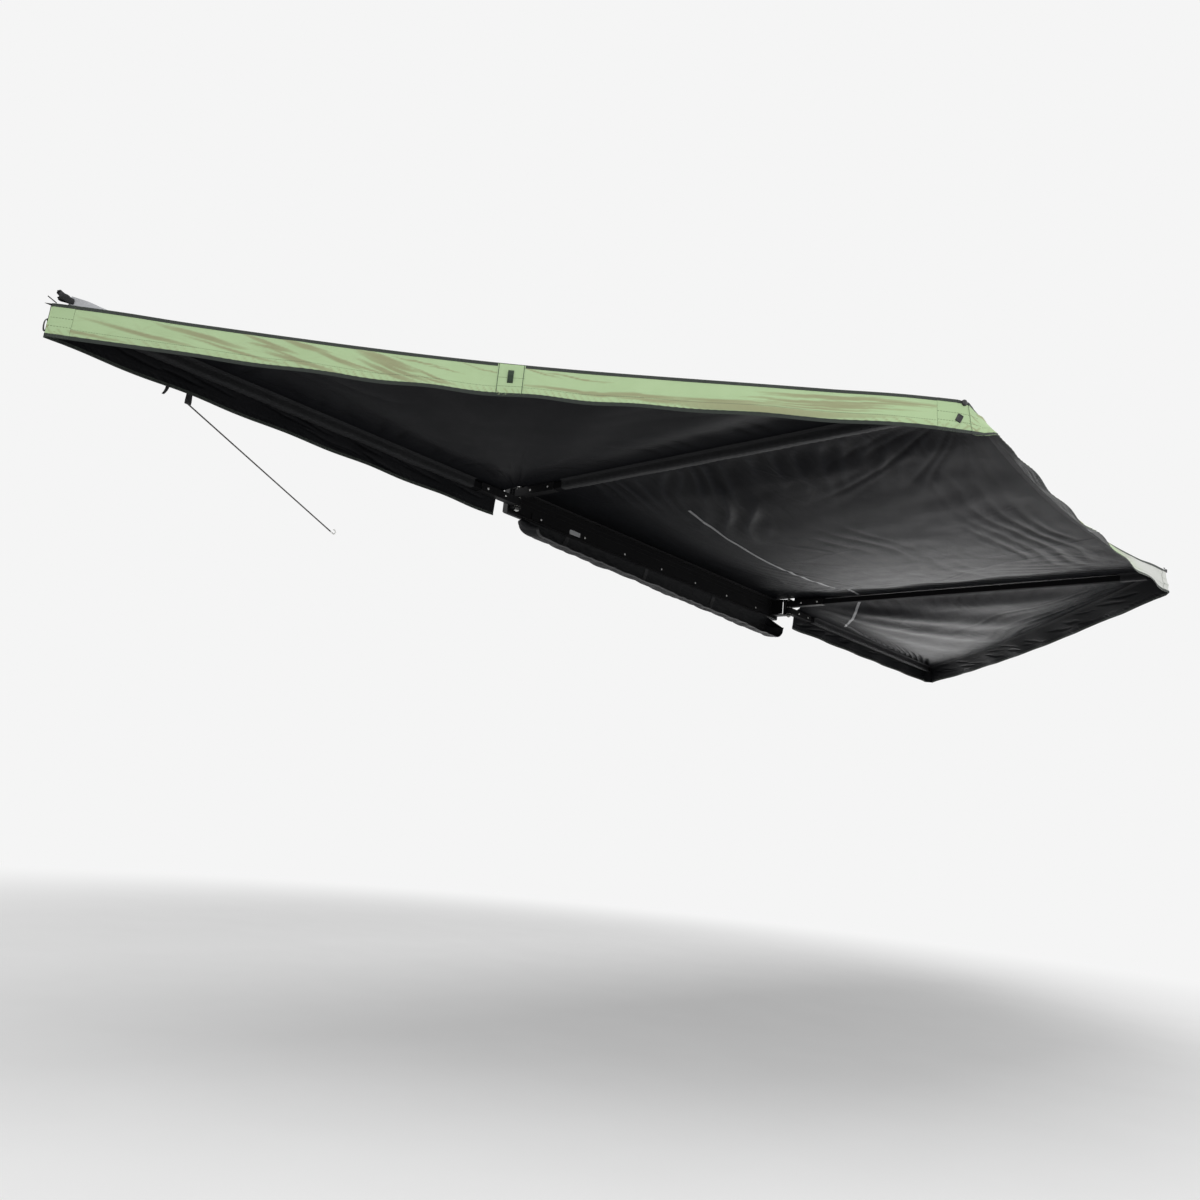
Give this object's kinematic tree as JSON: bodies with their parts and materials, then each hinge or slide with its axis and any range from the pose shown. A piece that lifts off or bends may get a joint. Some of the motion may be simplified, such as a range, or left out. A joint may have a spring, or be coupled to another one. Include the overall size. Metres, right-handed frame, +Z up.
{
  "type": "vehicle side awning",
  "caption": "Fold-out awning for a vehicle's side: hinged arms fan a cloth canopy out from a long base on roof-rack brackets, with valances and a travel cover.",
  "frame": {"origin": "middle of the underside of the middle mounting bracket's foot", "axes": "+X forward along the vehicle, -Y away from its side, +Z up"},
  "size_m": [5.9759, 2.1396, 0.4241],
  "materials": {
    "black_coated": "satin powder coat",
    "alloy": "satin",
    "steel": "zinc plated",
    "black_plastic": "fine grain",
    "nylon": "plain",
    "canopy_cloth": "coated canvas, grey above and black below",
    "valance_cloth": "canvas, sage green outside and black inside",
    "sleeve_cloth": "dark canvas",
    "cover_vinyl": "coated vinyl",
    "webbing": "woven strap",
    "guy_line": "braided cord"
  },
  "bodies": {
    "base": {"bare_plate": "alloy", "base_extrusion": "black_coated", "bracket_bolt_front": "steel", "bracket_bolt_middle": "steel", "bracket_bolt_rear": "steel", "bracket_nut_front": "steel", "bracket_nut_middle": "steel", "bracket_nut_rear": "steel", "canopy_center": "canopy_cloth", "canopy_rope": "sleeve_cloth", "clamp_strip": "black_coated", "cover_rope": "sleeve_cloth", "end_cap_front": "black_plastic", "end_cap_rear": "black_plastic", "front_hinge_bracket": "black_coated", "front_pivot_bolt": "steel", "front_pivot_nut": "steel", "front_washer_high": "nylon", "front_washer_low": "nylon", "front_washer_middle": "nylon", "mount_bracket_front": "black_coated", "mount_bracket_middle": "black_coated", "mount_bracket_rear": "black_coated", "rear_hinge_bracket": "black_coated", "rear_pivot_bolt": "steel", "rear_pivot_nut": "steel", "rear_washer_high": "nylon", "rear_washer_low": "nylon", "rear_washer_middle": "nylon", "valance_center": "valance_cloth"},
    "rear_inner_arm": {"canopy_rear_wing": "canopy_cloth", "rear_inner_knuckle": "black_coated", "rear_inner_sleeve": "sleeve_cloth", "rear_inner_tip": "black_plastic", "rear_inner_tube": "black_coated", "valance_rear": "valance_cloth"},
    "rear_outer_arm": {"flap_rear": "valance_cloth", "guy_hook": "steel", "guy_line": "guy_line", "guy_tab": "webbing", "rear_outer_knuckle": "black_coated", "rear_outer_sleeve": "sleeve_cloth", "rear_outer_tip": "black_plastic", "rear_outer_tube": "black_coated"},
    "front_inner_arm": {"canopy_front_wing": "canopy_cloth", "front_inner_knuckle": "black_coated", "front_inner_pocket": "sleeve_cloth", "front_inner_tip": "black_plastic", "front_inner_tube": "black_coated", "valance_front": "valance_cloth"},
    "front_outer_arm": {"flap_front": "valance_cloth", "front_outer_knuckle": "black_coated", "front_outer_sleeve": "sleeve_cloth", "front_outer_tip": "black_plastic", "front_outer_tube": "black_coated"},
    "cover": {"travel_cover": "cover_vinyl"}
  },
  "joints": [
    {"name": "rear_inner_swing", "type": "hinge", "parent": "base", "child": "rear_inner_arm", "pos_m": [-1.06, -0.0988, 0.0668], "axis": [0, 0, 1], "range_deg": [0, 90], "deforming": ["canopy_center", "valance_center"]},
    {"name": "rear_outer_fold", "type": "hinge", "parent": "rear_inner_arm", "child": "rear_outer_arm", "pos_m": [-1.06, -0.0988, 0.0292], "axis": [0, 0, 1], "range_deg": [0, 90], "deforming": ["canopy_rear_wing", "valance_rear", "flap_rear", "guy_line"]},
    {"name": "front_inner_swing", "type": "hinge", "parent": "base", "child": "front_inner_arm", "pos_m": [1.06, -0.1588, 0.0668], "axis": [0, 0, -1], "range_deg": [0, 90], "deforming": ["canopy_center", "valance_center"]},
    {"name": "front_outer_fold", "type": "hinge", "parent": "front_inner_arm", "child": "front_outer_arm", "pos_m": [1.06, -0.1588, 0.0292], "axis": [0, 0, -1], "range_deg": [0, 90], "deforming": ["canopy_front_wing", "valance_front", "flap_front"]},
    {"name": "cover_close", "type": "hinge", "parent": "base", "child": "cover", "pos_m": [0, -0.0628, -0.009], "axis": [-1, 0, 0], "range_deg": [0, 80], "deforming": ["travel_cover"]}
  ]
}
